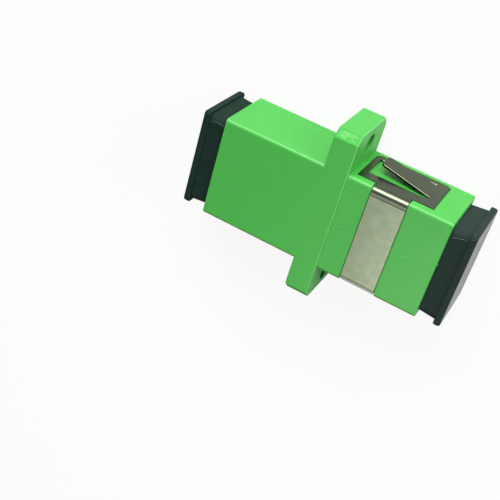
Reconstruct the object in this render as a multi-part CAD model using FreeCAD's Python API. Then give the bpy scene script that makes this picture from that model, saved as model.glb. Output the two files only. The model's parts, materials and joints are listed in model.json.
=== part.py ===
import FreeCAD, Part
import os
from math import sqrt

os.makedirs("parts", exist_ok=True)
Vector = FreeCAD.Vector

# A flanged simplex fibre adapter with its panel clip and two dust caps, in millimetres.
# X runs along the fibre towards the clip side, Y runs across the two ears, and Z points up
# through the face that the clip's band crosses. The origin is on the fibre's axis, in the
# middle of the flange. The keyways open downwards, and the part lies on that flat face.

# Housing: two mouldings, welded together at the flange's clip-side face
HOUSING_WIDTH = 13.0
HOUSING_HEIGHT = 9.3
FLANGED_LENGTH = 12.8  # from the flange to the mouth
CLIP_SIDE_LENGTH = 12.8
CLIP_SIDE_STEP = 0.17  # the clip side's band face lies this far below the flange
LONG_EDGE_ROUND = 0.5
MOUTH_EDGE_ROUND = 0.12

# Flange with its two ears
FLANGE_THICKNESS = 3.0
FLANGE_CHAMFER = 0.95
FLANGE_EDGE_ROUND = 0.15
EAR_HOLE = 2.4
EAR_HOLE_SPACING = 18.0
EAR_WALL = 0.9  # between a hole and the end of its ear

# Sockets and keyways
SOCKET_WIDTH = 9.1
SOCKET_HEIGHT = 7.45
SOCKET_ROUND = 0.4
SOCKET_LEAD_IN = 0.25
KEYWAY_WIDTH = 2.25
KEYWAY_DEPTH = 8.4
CLIP_SIDE_KEYWAY_END = 1.6  # radius of the flatter arch on the clip side
CLIP_SIDE_KEYWAY_MOUTH = 0.35  # radius of the rounded mouth corners there

# Latch holders: two equal mouldings clamped back to back in the middle of the housing
HOLDER_WIDTH = 10.6
HOLDER_HEIGHT = 8.1
HOLDER_ROUND = 0.6
HOLDER_THICKNESS = 0.9
HOLDER_GAP = 0.05  # all round, in the housing's pocket
BARREL_DIAMETER = 4.6
BARREL_LIP_BORE = 2.7  # at its inner end; it widens outwards to lead a ferrule in
BARREL_LIP = 0.8
BARREL_NOSE = 0.35
LATCH_LENGTH = 8.4  # from the holder's plate to the tip
LATCH_WIDTH = 3.2
LATCH_THICKNESS = 0.75
LATCH_GAP = 0.1  # between an arm and the inside of a dust cap's plug
LATCH_BARB = 0.6
LATCH_BARB_LENGTH = 1.5
LATCH_ROOT_ROUND = 0.4

# Split sleeve
SLEEVE_LENGTH = 11.4
SLEEVE_DIAMETER = 3.2
SLEEVE_BORE = 2.49
SLEEVE_SLIT = 0.5
SLEEVE_EDGE = 0.12
SLEEVE_PLAY = 0.12  # all round, in the barrels
SLEEVE_END_PLAY = 0.1

# Panel clip, folded from one strip
SHEET = 0.3
BEND_INSIDE = 0.45
BEND_EASE = 0.05  # the housing's corners under the bends are this much rounder
RECESS_GAP = 0.1  # between the clip's outline and its recess
BAND_START = 3.05  # from the flange
BAND_WIDTH = 4.3
FRAME_START = 0.7  # from the flange
FRAME_LENGTH = 9.2
FRAME_TOP = 3.2
FRAME_BOTTOM = 3.6  # below the axis
FRAME_CORNER = 0.7  # radius of the lower corner by the flange
FRAME_CHAMFER = 0.45  # on the lower corner at the tongue's root
WINDOW_START = 0.6  # from the frame's flange end
WINDOW_LENGTH = 7.4
WINDOW_TOP_RAIL = 1.6
WINDOW_BOTTOM_RAIL = 0.85
WINDOW_ROUND = 0.25
TONGUE_LENGTH = 6.5
TONGUE_RISE = 1.1
TONGUE_ROOT_WIDTH = 3.5
TONGUE_TIP_WIDTH = 2.4
TONGUE_TIP_ROUND = 0.5
TONGUE_SLIT = 0.2  # beside the root

# Dust caps: a hollow plug, a collar outside the mouth and a finger plate
CAP_GAP = 0.05  # all round, in the socket
PLUG_LENGTH = 8.9
PLUG_WALL = 0.75
PLUG_LEAD_IN = 0.3
DIMPLE_DIAMETER = 1.1
DIMPLE_DEPTH = 0.1
DIMPLE_FROM_MOUTH = 4.2
COLLAR_LENGTH = 2.15
COLLAR_WIDTH = 11.6
COLLAR_HEIGHT = 8.2
COLLAR_TAPER = 0.15  # the collar is this much larger at the plate, on each side
COLLAR_ROUND = 1.0
PLATE_THICKNESS = 0.85
PLATE_OVERHANG = 0.3  # past the collar, at the ear sides
PLATE_LIP = 0.25  # past the collar, at the wide faces
PLATE_ROUND = 0.5
PLATE_EDGE_ROUND = 0.3  # outside
PLATE_BACK_ROUND = 0.15  # towards the collar

# Places that several pieces share
FLANGE_FACE = FLANGE_THICKNESS / 2
FLANGE_SPAN = EAR_HOLE_SPACING + EAR_HOLE + 2 * EAR_WALL
SIDE_FACE = HOUSING_WIDTH / 2
TOP_FACE = HOUSING_HEIGHT / 2
CLIP_SIDE_TOP = TOP_FACE - CLIP_SIDE_STEP
FLANGED_MOUTH = FLANGE_FACE + FLANGED_LENGTH
CLIP_SIDE_MOUTH = FLANGE_FACE + CLIP_SIDE_LENGTH
SLEEVE_SEAT = SLEEVE_DIAMETER + 2 * SLEEVE_PLAY
BARREL_END = SLEEVE_LENGTH / 2 + SLEEVE_END_PLAY + BARREL_LIP
CAVITY_WIDTH = SOCKET_WIDTH - 2 * CAP_GAP - 2 * PLUG_WALL
CAVITY_HEIGHT = SOCKET_HEIGHT - 2 * CAP_GAP - 2 * PLUG_WALL
LATCH_OUTER = CAVITY_WIDTH / 2 - LATCH_GAP
LATCH_INNER = LATCH_OUTER - LATCH_THICKNESS
CLIP_FLOOR = SIDE_FACE - SHEET
BAND_FLOOR = CLIP_SIDE_TOP - SHEET
BAND_LEFT = FLANGE_FACE + BAND_START
BAND_RIGHT = BAND_LEFT + BAND_WIDTH
FRAME_LEFT = FLANGE_FACE + FRAME_START
FRAME_RIGHT = FRAME_LEFT + FRAME_LENGTH
WINDOW_LEFT = FRAME_LEFT + WINDOW_START
WINDOW_RIGHT = WINDOW_LEFT + WINDOW_LENGTH
WINDOW_TOP = FRAME_TOP - WINDOW_TOP_RAIL
WINDOW_BOTTOM = WINDOW_BOTTOM_RAIL - FRAME_BOTTOM
PAST = 1.0  # how far a cutting tool runs past the face that it opens
TOUCH = 1e-3  # two places nearer than this are the same


def edges_along(shape, axis):
    """The straight edges of a shape that run along one axis."""
    straight = [edge for edge in shape.Edges if edge.Curve.TypeId == "Part::GeomLine"]
    return [edge for edge in straight if abs(edge.tangentAt(edge.FirstParameter).dot(axis)) > 0.999]


def edges_at(shape, x):
    """The edges of a shape that lie in the plane across the fibre at x."""
    boxes = [(edge, edge.BoundBox) for edge in shape.Edges]
    return [edge for edge, box in boxes if abs(box.XMin - x) < TOUCH and abs(box.XMax - x) < TOUCH]


def edges_inside(shape, x, width, height):
    """The edges in the plane at x that lie on or inside a rectangle centred on the axis."""
    boxes = [(edge, edge.BoundBox) for edge in edges_at(shape, x)]
    reach = [(edge, max(-box.YMin, box.YMax), max(-box.ZMin, box.ZMax)) for edge, box in boxes]
    return [edge for edge, y, z in reach if y < width / 2 + TOUCH and z < height / 2 + TOUCH]


def bar(start, end, width, bottom, top, corner):
    """A bar along the fibre with rounded long edges."""
    block = Part.makeBox(end - start, width, top - bottom, Vector(start, -width / 2, bottom))
    return block.makeFillet(corner, edges_along(block, Vector(1, 0, 0)))


def centred_bar(start, end, width, height, corner):
    """A bar along the fibre, centred on its axis."""
    return bar(start, end, width, -height / 2, height / 2, corner)


def rod(start, end, diameter, y=0.0):
    """A round rod along the fibre."""
    return Part.makeCylinder(diameter / 2, end - start, Vector(start, y, 0), Vector(1, 0, 0))


def mirrored_x(shape):
    """The shape as seen in the flange's middle plane."""
    return shape.mirror(Vector(0, 0, 0), Vector(1, 0, 0))


def mirrored_y(shape):
    """The shape as seen in the plane between the two ears."""
    return shape.mirror(Vector(0, 0, 0), Vector(0, 1, 0))


def save(shape, node):
    """Write one sub-part."""
    shape.removeSplitter().exportStep(f"parts/{node}.step")


def tapered_bar(start, end, width, height, spread, corner):
    """A bar along the fibre that grows by a spread on each side towards its end."""
    y, z = width / 2, height / 2
    wedge = Part.makeWedge(-y, 0, -z, -z - spread, -y - spread, y, end - start, z, z + spread, y + spread)
    wedge.rotate(Vector(0, 0, 0), Vector(0, 0, 1), -90)
    wedge.translate(Vector(start, 0, 0))
    long_edges = [edge for edge in wedge.Edges if edge.BoundBox.XLength > end - start - TOUCH]
    return wedge.makeFillet(corner, long_edges)


def with_socket(housing, start, mouth):
    """The housing with the space that a plug slides into, from start to the mouth, and its lead-in."""
    low, high = min(start, mouth), max(start, mouth)
    housing = housing.cut(centred_bar(low - PAST, high + PAST, SOCKET_WIDTH, SOCKET_HEIGHT, SOCKET_ROUND))
    return housing.makeChamfer(SOCKET_LEAD_IN, edges_inside(housing, mouth, SOCKET_WIDTH, SOCKET_HEIGHT))


def keyway(mouth, end_radius, mouth_round):
    """The slot through the lower wall for a plug's key, opening towards +X at the mouth."""
    half = KEYWAY_WIDTH / 2
    tip = mouth - KEYWAY_DEPTH
    shoulder = tip + end_radius - sqrt(max(end_radius**2 - half**2, 0.0))
    outer = mouth + PAST
    arch = Part.Arc(Vector(shoulder, half, 0), Vector(tip, 0, 0), Vector(shoulder, -half, 0))
    sides = [(shoulder, -half), (outer, -half), (outer, half), (shoulder, half)]
    corners = [Vector(x, y, 0) for x, y in sides]
    lines = [Part.makeLine(first, second) for first, second in zip(corners, corners[1:])]
    outline = Part.Wire([arch.toShape()] + lines)
    depth = TOP_FACE - CAVITY_HEIGHT / 2
    slot = Part.Face(outline).extrude(Vector(0, 0, depth)).translated(Vector(0, 0, -TOP_FACE - PAST / 2))
    if mouth_round == 0:
        return slot
    flare = Part.makeBox(
        mouth_round + PAST,
        KEYWAY_WIDTH + 2 * mouth_round,
        depth,
        Vector(mouth - mouth_round, -half - mouth_round, -TOP_FACE - PAST / 2),
    )
    for side in (-1, 1):
        corner = Part.makeCylinder(
            mouth_round, depth, Vector(mouth - mouth_round, side * (half + mouth_round), -TOP_FACE - PAST / 2)
        )
        flare = flare.cut(corner)
    return slot.fuse(flare)


def flange():
    """The flange with its chamfered ears, before its holes."""
    half, top, cut = FLANGE_SPAN / 2, TOP_FACE, FLANGE_CHAMFER
    right = [(half - cut, top), (half, top - cut), (half, cut - top), (half - cut, -top)]
    outline = right + [(-y, z) for y, z in reversed(right)]
    points = [Vector(-FLANGE_FACE, y, z) for y, z in outline]
    plate = Part.Face(Part.makePolygon(points + points[:1])).extrude(Vector(FLANGE_THICKNESS, 0, 0))
    return plate.makeFillet(FLANGE_EDGE_ROUND, edges_at(plate, -FLANGE_FACE) + edges_at(plate, FLANGE_FACE))


def holder_pocket(gap, start, end):
    """The space of the two latch holders' plates, a gap larger all round."""
    return centred_bar(start, end, HOLDER_WIDTH + 2 * gap, HOLDER_HEIGHT + 2 * gap, HOLDER_ROUND + gap)


def flanged_housing():
    """The housing half with the flange, its socket and the pocket for the latch holders."""
    tube = centred_bar(
        -FLANGED_MOUTH, FLANGE_EDGE_ROUND - FLANGE_FACE, HOUSING_WIDTH, HOUSING_HEIGHT, LONG_EDGE_ROUND
    )
    tube = tube.makeFillet(MOUTH_EDGE_ROUND, edges_at(tube, -FLANGED_MOUTH))
    housing = with_socket(tube.fuse(flange()), -HOLDER_THICKNESS, -FLANGED_MOUTH)
    housing = housing.cut(mirrored_x(keyway(FLANGED_MOUTH, KEYWAY_WIDTH / 2, 0)))
    housing = housing.cut(holder_pocket(HOLDER_GAP, -HOLDER_THICKNESS, FLANGE_FACE + PAST))
    for side in (-1, 1):
        hole = rod(-FLANGE_FACE - PAST, FLANGE_FACE + PAST, EAR_HOLE, side * EAR_HOLE_SPACING / 2)
        housing = housing.cut(hole)
    return housing


def clip_recess():
    """The shallow seat of the clip: the band's channel and, on each side, the frame's pocket."""
    low = BAND_FLOOR - 2 * (BEND_INSIDE + SHEET)
    strip = Part.makeBox(
        BAND_WIDTH + 2 * RECESS_GAP,
        HOUSING_WIDTH + 2 * PAST,
        CLIP_SIDE_TOP + PAST - low,
        Vector(BAND_LEFT - RECESS_GAP, -SIDE_FACE - PAST, low),
    )
    core_round = BEND_INSIDE + BEND_EASE
    core = bar(BAND_LEFT - PAST, BAND_RIGHT + PAST, 2 * CLIP_FLOOR, -TOP_FACE, BAND_FLOOR, core_round)
    channel = strip.cut(core)
    pocket = frame_outline(RECESS_GAP).extrude(Vector(0, SHEET + PAST, 0))
    pocket.translate(Vector(0, CLIP_FLOOR, 0))
    return channel.fuse([pocket, mirrored_y(pocket)])


def clip_side_housing():
    """The housing half that carries the clip, with the spigot that closes the holders' pocket."""
    tube = bar(FLANGE_FACE, CLIP_SIDE_MOUTH, HOUSING_WIDTH, -TOP_FACE, CLIP_SIDE_TOP, LONG_EDGE_ROUND)
    tube = tube.makeFillet(MOUTH_EDGE_ROUND, edges_at(tube, CLIP_SIDE_MOUTH))
    spigot = holder_pocket(0, HOLDER_THICKNESS, FLANGE_FACE)
    housing = with_socket(tube.fuse(spigot), HOLDER_THICKNESS, CLIP_SIDE_MOUTH)
    housing = housing.cut(keyway(CLIP_SIDE_MOUTH, CLIP_SIDE_KEYWAY_END, CLIP_SIDE_KEYWAY_MOUTH))
    return housing.cut(clip_recess())


def latch_arm():
    """One sprung arm on the +Y side: its barb catches a plug's shoulder."""
    root, tip = HOLDER_THICKNESS, HOLDER_THICKNESS + LATCH_LENGTH
    barb = tip - LATCH_BARB_LENGTH
    shape = [
        (root - HOLDER_THICKNESS / 2, LATCH_INNER),
        (barb, LATCH_INNER),
        (barb, LATCH_INNER - LATCH_BARB),
        (barb + LATCH_BARB_LENGTH / 3, LATCH_INNER - LATCH_BARB),
        (tip, LATCH_INNER + LATCH_THICKNESS / 3),
        (tip, LATCH_OUTER),
        (root - HOLDER_THICKNESS / 2, LATCH_OUTER),
    ]
    points = [Vector(x, y, -LATCH_WIDTH / 2) for x, y in shape]
    return Part.Face(Part.makePolygon(points + points[:1])).extrude(Vector(0, 0, LATCH_WIDTH))


def latch_root():
    """The rounding between the +Y arm's outer face and the holder's plate."""
    corner = Vector(HOLDER_THICKNESS, LATCH_OUTER, -LATCH_WIDTH / 2)
    middle = corner + Vector(LATCH_ROOT_ROUND, LATCH_ROOT_ROUND, 0)
    block = Part.makeBox(LATCH_ROOT_ROUND, LATCH_ROOT_ROUND, LATCH_WIDTH, corner)
    return block.cut(Part.makeCylinder(LATCH_ROOT_ROUND, LATCH_WIDTH, middle))


def latch_holder():
    """The holder on the +X side: a plate, half of the sleeve's barrel and two latch arms."""
    plate = holder_pocket(0, 0, HOLDER_THICKNESS)
    barrel = rod(0, BARREL_END, BARREL_DIAMETER)
    barrel = barrel.makeChamfer(BARREL_NOSE, edges_at(barrel, BARREL_END))
    arm = latch_arm().fuse(latch_root())
    holder = plate.fuse([barrel, arm, mirrored_y(arm)])
    lip = BARREL_END - BARREL_LIP
    seat = rod(-PAST, lip, SLEEVE_SEAT)
    lead_in = Part.makeCone(
        BARREL_LIP_BORE / 2, SLEEVE_SEAT / 2, BARREL_LIP, Vector(lip, 0, 0), Vector(1, 0, 0)
    )
    return holder.cut(seat).cut(lead_in)


def split_sleeve():
    """The sprung ceramic tube that lines two ferrules up."""
    half = SLEEVE_LENGTH / 2
    tube = rod(-half, half, SLEEVE_DIAMETER).cut(rod(-half - PAST, half + PAST, SLEEVE_BORE))
    tube = tube.makeChamfer(SLEEVE_EDGE, edges_at(tube, -half) + edges_at(tube, half))
    slit = Part.makeBox(
        SLEEVE_LENGTH + 2 * PAST, SLEEVE_SLIT, SLEEVE_DIAMETER, Vector(-half - PAST, -SLEEVE_SLIT / 2, 0)
    )
    return tube.cut(slit)


def frame_outline(gap):
    """The side frame's outline as a face in the XZ plane, a gap larger all round."""
    left, right = FRAME_LEFT - gap, FRAME_RIGHT + gap
    top, bottom = FRAME_TOP + gap, -FRAME_BOTTOM - gap
    corners = [
        Vector(left, 0, top),
        Vector(right, 0, top),
        Vector(right, 0, bottom + FRAME_CHAMFER),
        Vector(right - FRAME_CHAMFER, 0, bottom),
    ]
    round_start = Vector(left + FRAME_CORNER, 0, bottom)
    round_end = Vector(left, 0, bottom + FRAME_CORNER)
    reach = FRAME_CORNER * (1 - sqrt(0.5))
    round_middle = Vector(left + reach, 0, bottom + reach)
    edges = [Part.makeLine(first, second) for first, second in zip(corners, corners[1:] + [round_start])]
    edges.append(Part.Arc(round_start, round_middle, round_end).toShape())
    edges.append(Part.makeLine(round_end, corners[0]))
    return Part.Face(Part.Wire(edges))


def tongue():
    """The sprung tongue of the +Y frame, lanced from its window and bent out towards the flange."""
    root_middle = WINDOW_BOTTOM + TONGUE_SLIT + TONGUE_ROOT_WIDTH / 2
    tip = WINDOW_RIGHT - TONGUE_LENGTH
    root = WINDOW_RIGHT + SHEET
    outline = [
        Vector(root, 0, root_middle + TONGUE_ROOT_WIDTH / 2),
        Vector(root, 0, root_middle - TONGUE_ROOT_WIDTH / 2),
        Vector(tip, 0, root_middle - TONGUE_TIP_WIDTH / 2),
        Vector(tip, 0, root_middle + TONGUE_TIP_WIDTH / 2),
    ]
    blank = Part.Face(Part.makePolygon(outline + outline[:1])).extrude(Vector(0, HOUSING_WIDTH, 0))
    tip_edges = [edge for edge in edges_along(blank, Vector(0, 1, 0)) if edge.BoundBox.XMax < tip + SHEET]
    blank = blank.makeFillet(TONGUE_TIP_ROUND, tip_edges)
    profile = [
        Vector(root, CLIP_FLOOR, 0),
        Vector(WINDOW_RIGHT, CLIP_FLOOR, 0),
        Vector(tip, CLIP_FLOOR + TONGUE_RISE, 0),
        Vector(tip, SIDE_FACE + TONGUE_RISE, 0),
        Vector(WINDOW_RIGHT, SIDE_FACE, 0),
        Vector(root, SIDE_FACE, 0),
    ]
    strip = Part.Face(Part.makePolygon(profile + profile[:1])).extrude(Vector(0, 0, HOUSING_HEIGHT))
    return strip.translated(Vector(0, 0, -TOP_FACE)).common(blank)


def side_frame():
    """The clip's +Y frame: a flat plate with a window and the tongue in it."""
    plate = frame_outline(0).extrude(Vector(0, SHEET, 0)).translated(Vector(0, CLIP_FLOOR, 0))
    window = Part.makeBox(
        WINDOW_LENGTH,
        SHEET + 2 * PAST,
        WINDOW_TOP - WINDOW_BOTTOM,
        Vector(WINDOW_LEFT, CLIP_FLOOR - PAST, WINDOW_BOTTOM),
    )
    window = window.makeFillet(WINDOW_ROUND, edges_along(window, Vector(0, 1, 0)))
    return plate.cut(window).fuse(tongue())


def panel_clip():
    """The folded spring clip: a band over the top face and a frame with a tongue on each side."""
    outside = bar(BAND_LEFT, BAND_RIGHT, HOUSING_WIDTH, -TOP_FACE, CLIP_SIDE_TOP, BEND_INSIDE + SHEET)
    inside = bar(BAND_LEFT - PAST, BAND_RIGHT + PAST, 2 * CLIP_FLOOR, -TOP_FACE, BAND_FLOOR, BEND_INSIDE)
    below = Part.makeBox(
        BAND_WIDTH + 2 * PAST,
        HOUSING_WIDTH + 2 * PAST,
        TOP_FACE + FRAME_TOP - WINDOW_TOP_RAIL / 2 + PAST,
        Vector(BAND_LEFT - PAST, -SIDE_FACE - PAST, -TOP_FACE - PAST),
    )
    band = outside.cut(inside).cut(below)
    frame = side_frame()
    return band.fuse([frame, mirrored_y(frame)])


def dust_cap(mouth):
    """The cap of a mouth on the +X side: plug, collar and finger plate."""
    plate_face = mouth + COLLAR_LENGTH
    plug = centred_bar(
        mouth - PLUG_LENGTH,
        mouth + COLLAR_LENGTH / 2,
        SOCKET_WIDTH - 2 * CAP_GAP,
        SOCKET_HEIGHT - 2 * CAP_GAP,
        SOCKET_ROUND - CAP_GAP,
    )
    plug = plug.makeChamfer(PLUG_LEAD_IN, edges_at(plug, mouth - PLUG_LENGTH))
    width = COLLAR_WIDTH + 2 * COLLAR_TAPER
    height = COLLAR_HEIGHT + 2 * COLLAR_TAPER
    collar = tapered_bar(mouth, plate_face, COLLAR_WIDTH, COLLAR_HEIGHT, COLLAR_TAPER, COLLAR_ROUND)
    end = plate_face + PLATE_THICKNESS
    plate = centred_bar(
        plate_face, end, width + 2 * PLATE_OVERHANG, height + 2 * PLATE_LIP, PLATE_ROUND
    )
    plate = plate.makeFillet(PLATE_EDGE_ROUND, edges_at(plate, end))
    plate = plate.makeFillet(PLATE_BACK_ROUND, edges_at(plate, plate_face))
    cap = collar.fuse([plate, plug]).removeSplitter()
    cavity = centred_bar(mouth - PLUG_LENGTH - PAST, plate_face, CAVITY_WIDTH, CAVITY_HEIGHT, SOCKET_ROUND)
    dimple_base = CAP_GAP + DIMPLE_DEPTH - SOCKET_HEIGHT / 2 - PAST
    dimple = Part.makeCylinder(DIMPLE_DIAMETER / 2, PAST, Vector(mouth - DIMPLE_FROM_MOUTH, 0, dimple_base))
    return cap.cut(cavity).cut(dimple)


holder = latch_holder()
save(flanged_housing(), "flanged_housing")
save(clip_side_housing(), "clip_side_housing")
save(mirrored_x(holder), "flanged_side_latch_holder")
save(holder, "clip_side_latch_holder")
save(split_sleeve(), "split_sleeve")
save(panel_clip(), "panel_clip")
save(mirrored_x(dust_cap(FLANGED_MOUTH)), "flanged_side_dust_cap")
save(dust_cap(CLIP_SIDE_MOUTH), "clip_side_dust_cap")
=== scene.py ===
import json
from math import radians

import bpy
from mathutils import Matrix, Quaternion, Vector, noise

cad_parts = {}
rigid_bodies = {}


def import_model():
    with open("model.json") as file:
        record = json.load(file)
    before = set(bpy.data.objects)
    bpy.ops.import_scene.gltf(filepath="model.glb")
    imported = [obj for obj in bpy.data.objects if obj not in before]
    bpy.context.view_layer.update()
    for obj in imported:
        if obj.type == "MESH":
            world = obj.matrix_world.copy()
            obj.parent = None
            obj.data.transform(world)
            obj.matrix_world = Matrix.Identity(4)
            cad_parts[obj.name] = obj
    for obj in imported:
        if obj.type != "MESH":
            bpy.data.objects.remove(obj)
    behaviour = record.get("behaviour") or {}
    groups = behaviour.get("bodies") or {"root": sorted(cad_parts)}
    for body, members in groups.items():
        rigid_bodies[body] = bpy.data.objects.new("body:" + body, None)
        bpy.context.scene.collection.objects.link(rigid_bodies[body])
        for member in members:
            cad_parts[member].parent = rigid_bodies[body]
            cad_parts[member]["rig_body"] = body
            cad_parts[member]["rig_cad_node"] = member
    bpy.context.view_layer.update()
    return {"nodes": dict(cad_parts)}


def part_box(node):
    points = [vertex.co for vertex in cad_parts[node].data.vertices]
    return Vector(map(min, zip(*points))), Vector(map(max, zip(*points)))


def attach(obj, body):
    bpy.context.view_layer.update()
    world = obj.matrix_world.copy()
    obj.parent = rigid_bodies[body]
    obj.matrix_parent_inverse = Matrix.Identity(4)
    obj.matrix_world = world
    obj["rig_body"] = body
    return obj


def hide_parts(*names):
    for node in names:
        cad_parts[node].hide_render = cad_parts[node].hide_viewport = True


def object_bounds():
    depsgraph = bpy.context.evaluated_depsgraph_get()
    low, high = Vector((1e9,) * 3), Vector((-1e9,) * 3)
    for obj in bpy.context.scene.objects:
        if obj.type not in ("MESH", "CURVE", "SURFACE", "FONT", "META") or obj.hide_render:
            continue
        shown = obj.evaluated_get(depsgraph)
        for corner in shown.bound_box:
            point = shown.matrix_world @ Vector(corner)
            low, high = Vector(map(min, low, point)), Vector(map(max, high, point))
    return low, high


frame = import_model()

MM = 0.001
PER_MM = 1000.0  # turns metres into millimetres in a material
CLOSE = 0.01 * MM  # lengths nearer to each other than this are the same

# Faces of the pieces, read from the frame
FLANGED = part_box("flanged_housing")
CLIP_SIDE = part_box("clip_side_housing")
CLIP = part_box("panel_clip")
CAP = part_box("clip_side_dust_cap")
FLANGED_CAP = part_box("flanged_side_dust_cap")
FLANGE_FACE = FLANGED[1].x
EAR_END = FLANGED[1].y
WIDE_FACE = FLANGED[1].z
MOUTH = CLIP_SIDE[1].x
SIDE_FACE = CLIP_SIDE[1].y
TOP_FACE = CLIP_SIDE[1].z
TONGUE_RISE = CLIP[1].y - SIDE_FACE

# Sizes that the boxes don't give
EAR_CHAMFER = 0.95 * MM
BAND_LEFT = FLANGE_FACE + 3.05 * MM
BAND_RIGHT = BAND_LEFT + 4.3 * MM
RECESS_GAP = 0.1 * MM
FRAME_TOP = 3.2 * MM
WINDOW_RIGHT = FLANGE_FACE + 8.7 * MM
WINDOW_BOTTOM = -2.75 * MM
TONGUE_LENGTH = 6.5 * MM

# Lines pressed across the clip's band: place on Y, width, depth, and how dark their painted shade
# is
PRESSED_LINES = (
    (5.45 * MM, 0.12 * MM, 0.03 * MM, 0.85),
    (5.66 * MM, 0.08 * MM, 0.02 * MM, 0.0),
    (-5.77 * MM, 0.12 * MM, 0.03 * MM, 0.7),
)


# ---------------------------------------------------------------- small tools


def near(value, target):
    """Whether two lengths are the same."""
    return abs(value - target) < CLOSE


def select_only(piece):
    """Make one object the only selected and the active one."""
    bpy.ops.object.select_all(action="DESELECT")
    piece.select_set(True)
    bpy.context.view_layer.objects.active = piece


def shift(piece, where, by):
    """Move the corners of a piece for which where(place) is true."""
    for corner in piece.data.vertices:
        if where(corner.co):
            corner.co += Vector(by)


def path_from(origin, *offsets):
    """A path through the places at these offsets, in millimetres, from an origin."""
    return [Vector(origin) + Vector(offset) * MM for offset in offsets]


def fit_out(piece, body, material):
    """Give a finished piece its main material and its body."""
    if piece.data.materials:
        piece.data.materials[0] = material
    else:
        piece.data.materials.append(material)
    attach(piece, body)


# ------------------------------------------------------- nodes and their colours


def linear(hex_colour):
    """An sRGB hex colour as linear red, green, blue and alpha."""
    shares = [int(hex_colour[i : i + 2], 16) / 255 for i in (0, 2, 4)]
    channels = [c / 12.92 if c <= 0.04045 else ((c + 0.055) / 1.055) ** 2.4 for c in shares]
    return (*channels, 1.0)


def add(tree, kind, inputs=None, **settings):
    """Add a shader node, give it its settings, and set or link its inputs."""
    item = tree.nodes.new(kind)
    for name, value in settings.items():
        setattr(item, name, value)
    for socket, value in (inputs or {}).items():
        if isinstance(value, bpy.types.NodeSocket):
            tree.links.new(value, item.inputs[socket])
        else:
            item.inputs[socket].default_value = value
    return item


def empty_tree(owner):
    """The cleared node tree of a material or a world."""
    owner.use_nodes = True
    owner.node_tree.nodes.clear()
    return owner.node_tree


def new_material(name):
    """An empty material, its tree, and the places on the object in millimetres."""
    material = bpy.data.materials.new(name)
    tree = empty_tree(material)
    place = add(tree, "ShaderNodeTexCoord").outputs["Object"]
    scaled = add(tree, "ShaderNodeVectorMath", {0: place, "Scale": PER_MM}, operation="SCALE")
    return material, tree, scaled.outputs["Vector"]


def finish_material(material, inputs):
    """Give the material a surface with these inputs, and hand it back."""
    shader = add(material.node_tree, "ShaderNodeBsdfPrincipled", inputs)
    add(material.node_tree, "ShaderNodeOutputMaterial", {"Surface": shader.outputs[0]})
    return material


def clouded(tree, place, size, detail, stops):
    """A colour that drifts through (place, hex colour) stops, in patches of a size in mm."""
    cloud = add(tree, "ShaderNodeTexNoise", {"Vector": place, "Scale": 1 / size, "Detail": detail})
    drift = add(tree, "ShaderNodeValToRGB", {"Fac": cloud.outputs["Fac"]})
    elements = drift.color_ramp.elements
    while len(elements) < len(stops):
        elements.new(0.5)
    for element, (stop, colour) in zip(elements, stops):
        element.position = stop
        element.color = linear(colour)
    return drift.outputs["Color"]


def grained(tree, place, size, detail, strength, height):
    """A normal roughened by a grain with a size and a height in mm."""
    grain = add(tree, "ShaderNodeTexNoise", {"Vector": place, "Scale": 1 / size, "Detail": detail})
    relief = {"Height": grain.outputs["Fac"], "Strength": strength, "Distance": height * MM}
    return add(tree, "ShaderNodeBump", relief).outputs["Normal"]


def between(tree, value, low, high, soft):
    """1 where the value lies between two limits and 0 outside, with soft steps."""
    middle, half = (low + high) / 2, (high - low) / 2
    offset = add(tree, "ShaderNodeMath", {0: value, 1: middle}, operation="SUBTRACT")
    away = add(tree, "ShaderNodeMath", {0: offset.outputs[0]}, operation="ABSOLUTE")
    step = {"Value": away.outputs[0], "From Min": half - soft, "From Max": half + soft}
    step.update({"To Min": 1.0, "To Max": 0.0})
    return add(tree, "ShaderNodeMapRange", step, interpolation_type="SMOOTHSTEP").outputs[0]


def laid_over(tree, colour, paint, strength, *masks):
    """The colour with a paint laid over it, at a strength, where all the masks are 1."""
    share = strength
    for mask in masks:
        share = add(tree, "ShaderNodeMath", {0: mask, 1: share}, operation="MULTIPLY").outputs[0]
    return add(tree, "ShaderNodeMix", {0: share, 6: colour, 7: paint}, data_type="RGBA").outputs[2]


# ------------------------------------------------------------------ materials


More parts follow.
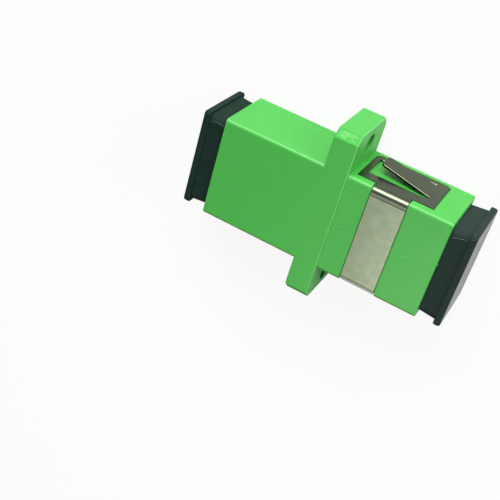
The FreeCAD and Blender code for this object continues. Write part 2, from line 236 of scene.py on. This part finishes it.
def moulded_green():
    """PBT, injection moulded in green: satin, faintly cloudy and very finely grained.

    The chamfers of the flange's ears are dull, and the rounded edge of the flange's face has a
    painted highlight.
    """
    material, tree, place = new_material("green moulded PBT")
    places = add(tree, "ShaderNodeSeparateXYZ", {"Vector": place}).outputs
    facing = add(tree, "ShaderNodeNewGeometry").outputs["Normal"]
    facing = add(tree, "ShaderNodeSeparateXYZ", {"Vector": facing}).outputs
    lean = add(tree, "ShaderNodeMath", {0: facing["Y"], 1: facing["Z"]}, operation="MULTIPLY")
    slope = add(tree, "ShaderNodeMath", {0: lean.outputs[0]}, operation="ABSOLUTE").outputs[0]
    reach = add(tree, "ShaderNodeMath", {0: places["Y"]}, operation="ABSOLUTE").outputs[0]

    chamfers = between(tree, slope, 0.3, 0.7, 0.1)  # the slope is 0.5 at 45 degrees
    ear_ends = between(tree, reach, EAR_END / MM - 1.2, EAR_END / MM + 0.9, 0.1)
    dull = add(tree, "ShaderNodeMath", {0: chamfers, 1: ear_ends}, operation="MULTIPLY")
    rough = {"Value": dull.outputs[0], "To Min": 0.43, "To Max": 0.8}
    rough = add(tree, "ShaderNodeMapRange", rough).outputs[0]

    colour = clouded(tree, place, 2.86, 3.0, [(0.3, "37a63a"), (0.7, "3aaa3d")])
    flange = FLANGE_FACE / MM
    # A painted highlight along the rounded edge of the flange's face
    edge_highlight = between(tree, places["X"], flange - 0.13, flange - 0.04, 0.03)
    colour = laid_over(tree, colour, linear("a6e6a4"), 0.22, edge_highlight)
    normal = grained(tree, place, 0.111, 2.0, 0.06, 0.02)
    return finish_material(
        material, {"Base Color": colour, "Roughness": rough, "IOR": 1.6, "Normal": normal}
    )


def moulded_black(name, roughness, gloss):
    """LDPE, injection moulded in black with a cool green cast: waxy, or polished by the mould.

    The clip-side cap is painted greyer, as painted light for the brighter light that falls on it.
    """
    material, tree, place = new_material(name)
    colour = clouded(tree, place, 2.0, 3.0, [(0.3, "192c26"), (0.7, "20322c")])
    places = add(tree, "ShaderNodeSeparateXYZ", {"Vector": place}).outputs
    mouth = MOUTH / MM
    # Painted light: the clip-side cap is painted greyer for the brighter light on it
    painted_light_cap = between(tree, places["X"], mouth - 6.3, mouth + 15.7, 1.0)
    surface = {"Base Color": laid_over(tree, colour, linear("303a3b"), 0.55, painted_light_cap)}
    surface.update({"Roughness": roughness, "IOR": 1.51, "Specular IOR Level": gloss})
    surface["Normal"] = grained(tree, place, 0.0833, 2.0, 0.1, 0.02)
    return finish_material(material, surface)


def rolled_steel():
    """Stainless strip, cold rolled: warm grey and cloudy on the band, darker on the sides as
    painted shade.

    Painted shade darkens the +Y bend, the pressed lines and the turn at the band's -Y end, and
    a strip beside that turn is painted pale as a painted reflection.
    """
    material, tree, place = new_material("cold rolled stainless strip")
    places = add(tree, "ShaderNodeSeparateXYZ", {"Vector": place}).outputs
    x, y, z = places["X"], places["Y"], places["Z"]
    reach = add(tree, "ShaderNodeMath", {0: y}, operation="ABSOLUTE").outputs[0]
    shade = linear("303c31")
    side, top = SIDE_FACE / MM, CLIP[1].z / MM
    beyond = side + 2.5  # past the tongues

    # The band, and the side frames and raised tongues, painted darker and greener as a painted
    # reflection.
    # The painted shade at the end covers most of the sides, so the colours of the last two show
    # only at the bends and in the dark turn
    band = clouded(tree, place, 1.11, 4.0, [(0.3, "7e8972"), (0.5, "848f77"), (0.7, "8a957d")])
    side_frame_shade = clouded(tree, place, 1.11, 4.0, [(0.3, "666e5b"), (0.7, "6e7663")])
    tongue_green_reflection = clouded(tree, place, 1.11, 4.0, [(0.3, "535f4c"), (0.7, "5d6b55")])
    on_side = between(tree, reach, side - 0.22, beyond, 0.12)
    raised = between(tree, reach, side + 0.1, beyond, 0.05)
    colour = laid_over(tree, band, side_frame_shade, 1.0, on_side)
    colour = laid_over(tree, colour, tongue_green_reflection, 1.0, raised)

    # Shade on the side frames under the band, fading to the right
    left, right = BAND_LEFT / MM, BAND_RIGHT / MM
    fade = {"Value": x, "From Min": left, "From Max": right, "To Min": 0.85, "To Max": 0.3}
    fade = add(tree, "ShaderNodeMapRange", fade).outputs[0]
    across = between(tree, x, left, right, 0.05)
    below = between(tree, z, top - 2.78, top - 0.48, 0.2)
    colour = laid_over(tree, colour, shade, fade, across, below, on_side)

    # Painted shade in the +Y bend and in the pressed lines
    on_top = between(tree, z, top - 0.28, top + 0.52, 0.02)
    bend = between(tree, y, side - 0.7, side - 0.4, 0.06)
    colour = laid_over(tree, colour, shade, 0.7, bend, on_top)
    for middle, width, _, darkness in PRESSED_LINES:
        low, high = (middle - width / 2) / MM, (middle + width / 2) / MM
        line = between(tree, y, low, high, 0.03)
        colour = laid_over(tree, colour, shade, darkness, line, on_top)

    # The band's -Y end: a strip beside the turn painted pale as a painted reflection, painted
    # shade in the turn, and painted shade over the sides, which leaves out the dark turn
    painted_pale_strip = between(tree, y, 0.14 - side, 0.64 - side, 0.04)
    turn = between(tree, y, -0.2 - side, 0.1 - side, 0.03)
    beside_turn = between(tree, turn, -0.4, 0.4, 0.1)
    colour = laid_over(tree, colour, linear("d6dac4"), 0.55, painted_pale_strip)
    colour = laid_over(tree, colour, shade, 0.75, turn)
    colour = laid_over(tree, colour, linear("565c4e"), 1.0, beside_turn, on_side)

    normal = grained(tree, place, 0.143, 4.0, 0.15, 0.01)
    return finish_material(
        material, {"Base Color": colour, "Metallic": 1.0, "Roughness": 0.24, "Normal": normal}
    )


def plain_surface(name, size, detail, stops, roughness, ior):
    """A material of one faintly clouded colour, too smooth to show a grain."""
    material, tree, place = new_material(name)
    colour = clouded(tree, place, size, detail, stops)
    return finish_material(material, {"Base Color": colour, "Roughness": roughness, "IOR": ior})


def torn_green():
    """PBT torn at the gate: whitened by the strain, and rough."""
    stops = [(0.35, "3aa43d"), (0.55, "49ad4c"), (0.7, "5cb75e")]
    return plain_surface("green PBT, torn and whitened", 0.333, 3.0, stops, 0.6, 1.6)


def pale_grey_flash():
    """LDPE flash: a feather of black plastic, coloured pale grey."""
    stops = [(0.35, "3c504a"), (0.6, "8f9e98")]
    return plain_surface("black LDPE flash, pale grey", 0.4, 2.0, stops, 0.4, 1.51)


def plain_plastic():
    """PBT, injection moulded in off-white: the sprung latch holders."""
    stops = [(0.3, "d4d2c8"), (0.7, "dcdad0")]
    return plain_surface("off-white moulded PBT", 1.67, 2.0, stops, 0.45, 1.55)


def zirconia():
    """Zirconia ceramic, centreless ground: white with a cool, dense gloss."""
    stops = [(0.3, "eceae2"), (0.7, "f2f0e9")]
    return plain_surface("ground zirconia", 0.5, 2.0, stops, 0.2, 2.1)


# ----------------------------------------------- copies of the solids, finished


def smooth_copy(node, name):
    """A copy of a CAD node with its facets merged, so that its rounded edges shade smooth."""
    piece = frame["nodes"][node].copy()
    piece.data = piece.data.copy()
    piece.name = name
    piece.parent = None
    del piece["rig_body"]
    del piece["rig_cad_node"]
    bpy.context.scene.collection.objects.link(piece)
    select_only(piece)
    bpy.ops.mesh.customdata_custom_splitnormals_clear()
    bpy.ops.object.mode_set(mode="EDIT")
    bpy.ops.mesh.select_all(action="SELECT")
    bpy.ops.mesh.remove_doubles(threshold=0.001 * MM)
    bpy.ops.mesh.dissolve_limited(angle_limit=radians(0.3))
    bpy.ops.object.mode_set(mode="OBJECT")
    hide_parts(node)
    return piece


def even_normals(piece):
    """Keep flat faces flat and leave the turn of the light to the rounded edges."""
    select_only(piece)
    bpy.ops.object.shade_smooth_by_angle(angle=radians(35))
    weighted = piece.modifiers.new("flat faces", "WEIGHTED_NORMAL")
    weighted.keep_sharp = True
    bpy.ops.object.modifier_apply(modifier=weighted.name)


def chamfer(piece, width, chosen):
    """Break the edges of a piece for which chosen(one end, other end) is true."""
    select_only(piece)
    bpy.ops.object.mode_set(mode="EDIT")
    bpy.ops.mesh.select_mode(type="EDGE")
    bpy.ops.mesh.select_all(action="DESELECT")
    bpy.ops.object.mode_set(mode="OBJECT")
    corners = piece.data.vertices
    for edge in piece.data.edges:
        first, second = (corners[index].co for index in edge.vertices)
        edge.select = chosen(first, second)
    bpy.ops.object.mode_set(mode="EDIT")
    bpy.ops.mesh.bevel(offset=width, segments=1, clamp_overlap=False)
    bpy.ops.mesh.select_all(action="SELECT")
    bpy.ops.mesh.remove_doubles(threshold=0.002 * MM)
    bpy.ops.mesh.dissolve_degenerate(threshold=0.002 * MM)
    bpy.ops.object.mode_set(mode="OBJECT")


def press_line(piece, y, width, depth):
    """Press a fine V-shaped line across the clip's band at a place on Y."""
    select_only(piece)
    bpy.ops.object.mode_set(mode="EDIT")
    for cut in (y - width / 2, y, y + width / 2):
        bpy.ops.mesh.select_all(action="SELECT")
        bpy.ops.mesh.bisect(plane_co=(0, cut, 0), plane_no=(0, 1, 0), threshold=0.0001 * MM)
    bpy.ops.object.mode_set(mode="OBJECT")
    shift(piece, lambda place: near(place.y, y) and near(place.z, CLIP[1].z), (0, 0, -depth))


def open_seam(piece):
    """Widen the seat of the clip a little, so that the clip's outline shows as a dark line."""
    narrow, wide = 0.04 * MM, 0.06 * MM
    left, right = BAND_LEFT - RECESS_GAP, BAND_RIGHT + RECESS_GAP
    frame_right, frame_top = CLIP[1].x + RECESS_GAP, FRAME_TOP + RECESS_GAP
    seat_floor = SIDE_FACE - 0.4 * MM
    shift(piece, lambda place: near(place.x, left), (-narrow, 0, 0))
    shift(piece, lambda place: near(place.x, right), (wide, 0, 0))
    shift(piece, lambda place: near(place.x, frame_right), (wide, 0, 0))
    shift(
        piece,
        lambda place: near(place.z, frame_top) and abs(place.y) > seat_floor,
        (0, 0, wide),
    )


def finish_clip(piece):
    """Press the fine lines beside the bends, and break the tongues' and windows' edges."""
    for y, width, depth, _ in PRESSED_LINES:
        press_line(piece, y, width, depth)

    def rise(place):
        return abs(place.y) - SIDE_FACE

    def on_tongue(place):
        return near(rise(place), TONGUE_RISE * (WINDOW_RIGHT - place.x) / TONGUE_LENGTH)

    def on_window(place):
        return near(place.z, WINDOW_BOTTOM) and near(rise(place), 0)

    def tongue_edge(first, second):
        is_raised = max(rise(first), rise(second)) > 0.02 * MM
        return on_tongue(first) and on_tongue(second) and is_raised

    chamfer(piece, 0.04 * MM, tongue_edge)
    chamfer(piece, 0.07 * MM, lambda first, second: on_window(first) and on_window(second))


def polish(piece):
    """Give the finger plate's flat outer face the polished finish."""
    piece.data.materials.append(polished)
    reach = max(abs(corner.co.x) for corner in piece.data.vertices)
    for face in piece.data.polygons:
        if abs(face.center.x) > reach - 0.05 * MM and abs(face.normal.x) > 0.9:
            face.material_index = 1


# ------------------------------------------------------- marks of the moulding


def bead(name, path, radius):
    """A fine bead drawn along a path, pointed at its far end."""
    bpy.ops.object.select_all(action="DESELECT")
    start = (path[1] - path[0]).to_track_quat("Z", "Y").to_euler()
    bpy.ops.mesh.primitive_circle_add(
        vertices=8, radius=radius, fill_type="NGON", location=path[0], rotation=start
    )
    piece = bpy.context.object
    piece.name = name
    bpy.ops.object.transform_apply()
    bpy.ops.object.mode_set(mode="EDIT")
    bpy.ops.mesh.select_all(action="SELECT")
    for first, second in zip(path, path[1:]):
        bpy.ops.mesh.extrude_region_move(TRANSFORM_OT_translate={"value": second - first})
    bpy.ops.transform.resize(value=(0.2, 0.2, 0.2), center_override=path[-1])
    bpy.ops.mesh.select_all(action="SELECT")
    bpy.ops.mesh.normals_make_consistent()
    bpy.ops.object.mode_set(mode="OBJECT")
    bpy.ops.object.shade_smooth_by_angle(angle=radians(60))
    return piece


def gate_scar():
    """Where the runner was cut off the +Y ear's chamfer: a low, torn, rippled patch."""
    length, width, root_depth = 2.5, 1.05, 0.1 * MM
    ripple, swell, sink = 0.03 * MM, 0.01 * MM, 0.01 * MM
    ripples_across, ripples_along = 1.4, 4.5  # in each millimetre
    bpy.ops.object.select_all(action="DESELECT")
    bpy.ops.mesh.primitive_grid_add(x_subdivisions=36, y_subdivisions=16, size=1 * MM)
    piece = bpy.context.object
    piece.name = "gate_scar"
    piece.scale = (length, width, 1)
    bpy.ops.object.transform_apply()
    for corner in piece.data.vertices:
        x, y = corner.co.x, corner.co.y
        across, along = x / (length / 2 * MM), y / (width / 2 * MM)
        torn_at = Vector((x * ripples_across, y * ripples_along, 0.4 * MM)) * PER_MM
        inside = max(0.0, 1.0 - across**4) * max(0.0, 1.0 - along**4)
        corner.co.z = (ripple * noise.noise(torn_at) + swell) * inside - sink * (1 - inside)
    piece.rotation_euler = (radians(-45), 0, 0)
    piece.location = (0.0, EAR_END - EAR_CHAMFER / 2, WIDE_FACE - EAR_CHAMFER / 2)
    bpy.ops.object.transform_apply()
    root = piece.modifiers.new("root", "SOLIDIFY")
    root.thickness, root.offset = root_depth, -1.0
    bpy.ops.object.modifier_apply(modifier=root.name)
    bpy.ops.object.shade_smooth_by_angle(angle=radians(60))
    return piece


# ------------------------------------------------------------------ the pieces

green = moulded_green()
black = moulded_black("black moulded LDPE", 0.5, 0.03)
polished = moulded_black("black moulded LDPE, polished", 0.22, 0.5)
steel = rolled_steel()
white = plain_plastic()
ceramic = zirconia()
torn = torn_green()
pale_flash = pale_grey_flash()

for node, name, body, slot, material, finish in (
    ("flanged_housing", "flanged_half", "adapter", "housing_green", green, None),
    ("clip_side_housing", "clip_side_half", "adapter", "housing_green", green, open_seam),
    ("flanged_side_latch_holder", "flanged_side_latches", "adapter", "latch_plastic", white, None),
    ("clip_side_latch_holder", "clip_side_latches", "adapter", "latch_plastic", white, None),
    ("split_sleeve", "alignment_sleeve", "adapter", "sleeve_ceramic", ceramic, None),
    ("panel_clip", "folded_clip", "adapter", "clip_steel", steel, finish_clip),
    ("flanged_side_dust_cap", "flanged_side_plug", "flanged_side_cap", "cap_black", black, polish),
    ("clip_side_dust_cap", "clip_side_plug", "clip_side_cap", "cap_black", black, polish),
):
    piece = smooth_copy(node, name)
    if finish:
        finish(piece)
    even_normals(piece)
    fit_out(piece, body, material)

fit_out(gate_scar(), "adapter", torn)

# The parting line on the clip side's top face, drifting a little towards +Y, with a flake of
# flash at its end
flange_foot = (FLANGE_FACE, 0, TOP_FACE + 0.004 * MM)
mouth_edge = (MOUTH, 0, TOP_FACE + 0.004 * MM)
inner = path_from(flange_foot, (0.4, -0.02, 0), (1.3, 0.02, 0), (2.1, 0.06, 0))
outer = path_from(
    mouth_edge,
    (-5.1, 0.0, 0),
    (-4.0, 0.02, 0),
    (-2.7, 0.2, 0),
    (-1.4, 0.5, 0),
    (-0.05, 1.08, 0),
)
for name, path in (("parting_line_inner", inner), ("parting_line_outer", outer)):
    fit_out(bead(name, path, 0.03 * MM), "adapter", green)
flake = path_from((MOUTH, 0, TOP_FACE), (-0.1, 1.1, -0.08), (0.16, 1.14, -0.01))
fit_out(bead("flash_nib", flake, 0.1 * MM), "adapter", torn)

# Flash along the parting of the dust caps' moulds, from each cap's far upper +Y corner
cap_corner = CAP[1]
flanged_cap_corner = (FLANGED_CAP[0].x, FLANGED_CAP[1].y, FLANGED_CAP[1].z)
collar_line = path_from(
    cap_corner,
    (-2.7, -1.45, -0.4),
    (-2.1, -1.19, -0.31),
    (-1.5, -1.05, -0.28),
    (-1.0, -1.01, -0.28),
)
plate_line = path_from(cap_corner, (-0.8, -0.55, 0.0), (-0.5, -0.45, 0.0), (-0.25, -0.37, -0.02))
flanged_collar_line = path_from(
    flanged_cap_corner,
    (2.7, -1.15, -0.45),
    (2.4, -1.05, -0.4),
    (1.7, -1.0, -0.34),
    (0.9, -1.05, -0.3),
)
for name, body, radius, path in (
    ("flash_line_clip_side", "clip_side_cap", 0.02 * MM, collar_line),
    ("flash_line_plate", "clip_side_cap", 0.012 * MM, plate_line),
    ("flash_line_flanged_side", "flanged_side_cap", 0.02 * MM, flanged_collar_line),
):
    fit_out(bead(name, path, radius), body, pale_flash)


# ------------------------------------------------------ floor, light, camera

LAMP_COLOUR = "fffdf8"
FLOOR_SIZE = 3.0
SEEN_GLOW = 0.9  # the share of plain white in the floor as it is seen, against lit and shaded
MIRRORED_GLOW = 0.1  # the same share in reflections
WHITE = (1, 1, 1, 1)


def ray_kinds(tree):
    """1 for what is seen directly, and 1 for what is seen in a reflection or through a piece."""
    rays = add(tree, "ShaderNodeLightPath").outputs
    kinds = {0: rays["Is Glossy Ray"], 1: rays["Is Transmission Ray"]}
    mirrored = add(tree, "ShaderNodeMath", kinds, operation="MAXIMUM").outputs[0]
    return rays["Is Camera Ray"], mirrored


def pale_floor():
    """A large white sheet under the part that keeps a faint shadow."""
    bpy.ops.object.select_all(action="DESELECT")
    bpy.ops.mesh.primitive_plane_add(size=FLOOR_SIZE, location=(0, 0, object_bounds()[0][2]))
    floor = bpy.context.object
    floor.name = "floor"
    material = bpy.data.materials.new("white paper")
    tree = empty_tree(material)
    seen, mirrored = ray_kinds(tree)
    glows = [
        add(tree, "ShaderNodeMath", {0: rays, 1: glow}, operation="MULTIPLY").outputs[0]
        for rays, glow in ((mirrored, MIRRORED_GLOW), (seen, SEEN_GLOW))
    ]
    share = add(tree, "ShaderNodeMath", dict(enumerate(glows)), operation="MAXIMUM").outputs[0]
    paper = add(tree, "ShaderNodeBsdfDiffuse", {"Color": linear("f9f9f8")})
    glow = add(tree, "ShaderNodeEmission", {"Color": WHITE, "Strength": 1.0})
    mix = add(tree, "ShaderNodeMixShader", {0: share, 1: paper.outputs[0], 2: glow.outputs[0]})
    add(tree, "ShaderNodeOutputMaterial", {"Surface": mix.outputs[0]})
    floor.data.materials.append(material)


def pale_world(as_light, as_mirrored):
    """White where it is seen, a little less in reflections, and a plain level as a light."""
    world = bpy.data.worlds.new("studio")
    bpy.context.scene.world = world
    tree = empty_tree(world)
    seen, mirrored = ray_kinds(tree)
    level = {"Value": mirrored, "To Min": as_light, "To Max": as_mirrored}
    level = add(tree, "ShaderNodeMapRange", level).outputs[0]
    level = add(tree, "ShaderNodeMath", {0: level, 1: seen}, operation="MAXIMUM").outputs[0]
    back = add(tree, "ShaderNodeBackground", {"Color": WHITE, "Strength": level})
    add(tree, "ShaderNodeOutputWorld", {"Surface": back.outputs[0]})


def soft_lamp(name, place, width, height, watts):
    """A soft rectangular lamp that points at the part."""
    bpy.ops.object.light_add(type="AREA", location=place)
    lamp = bpy.context.object
    lamp.name = name
    lamp.data.shape = "RECTANGLE"
    lamp.data.size = width
    lamp.data.size_y = height
    lamp.data.energy = watts
    lamp.data.color = linear(LAMP_COLOUR)[:3]
    lamp.rotation_euler = (-Vector(place)).to_track_quat("-Z", "Y").to_euler()


def camera():
    """The camera, turned so that the ears point up and down in the picture."""
    place = Vector((24.20, 54.76, 98.92)) * MM
    aim = Vector((-8.49, -11.35, 0.0)) * MM
    roll = Quaternion((0, 0, 1), radians(-131.45))
    bpy.ops.object.camera_add(location=place)
    eye = bpy.context.object
    eye.name = "camera"
    eye.rotation_mode = "QUATERNION"
    eye.rotation_quaternion = (aim - place).to_track_quat("-Z", "Y") @ roll
    eye.data.sensor_width = 36.0
    eye.data.lens = 69.79
    eye.data.clip_start = 1 * MM
    eye.data.clip_end = 10.0
    bpy.context.scene.camera = eye


pale_floor()
pale_world(0.06, 0.64)
soft_lamp("key", (-0.08, 0.70, 0.34), 0.68, 0.52, 9.3)
soft_lamp("side", (0.66, 0.36, 0.25), 0.40, 0.40, 3.5)
soft_lamp("fill", (0.04, -0.22, 0.34), 0.20, 0.20, 0.18)
soft_lamp("near fill", (0.021, -0.049, 0.070), 0.03, 0.03, 0.009)
camera()

bpy.context.scene.view_settings.view_transform = "Standard"
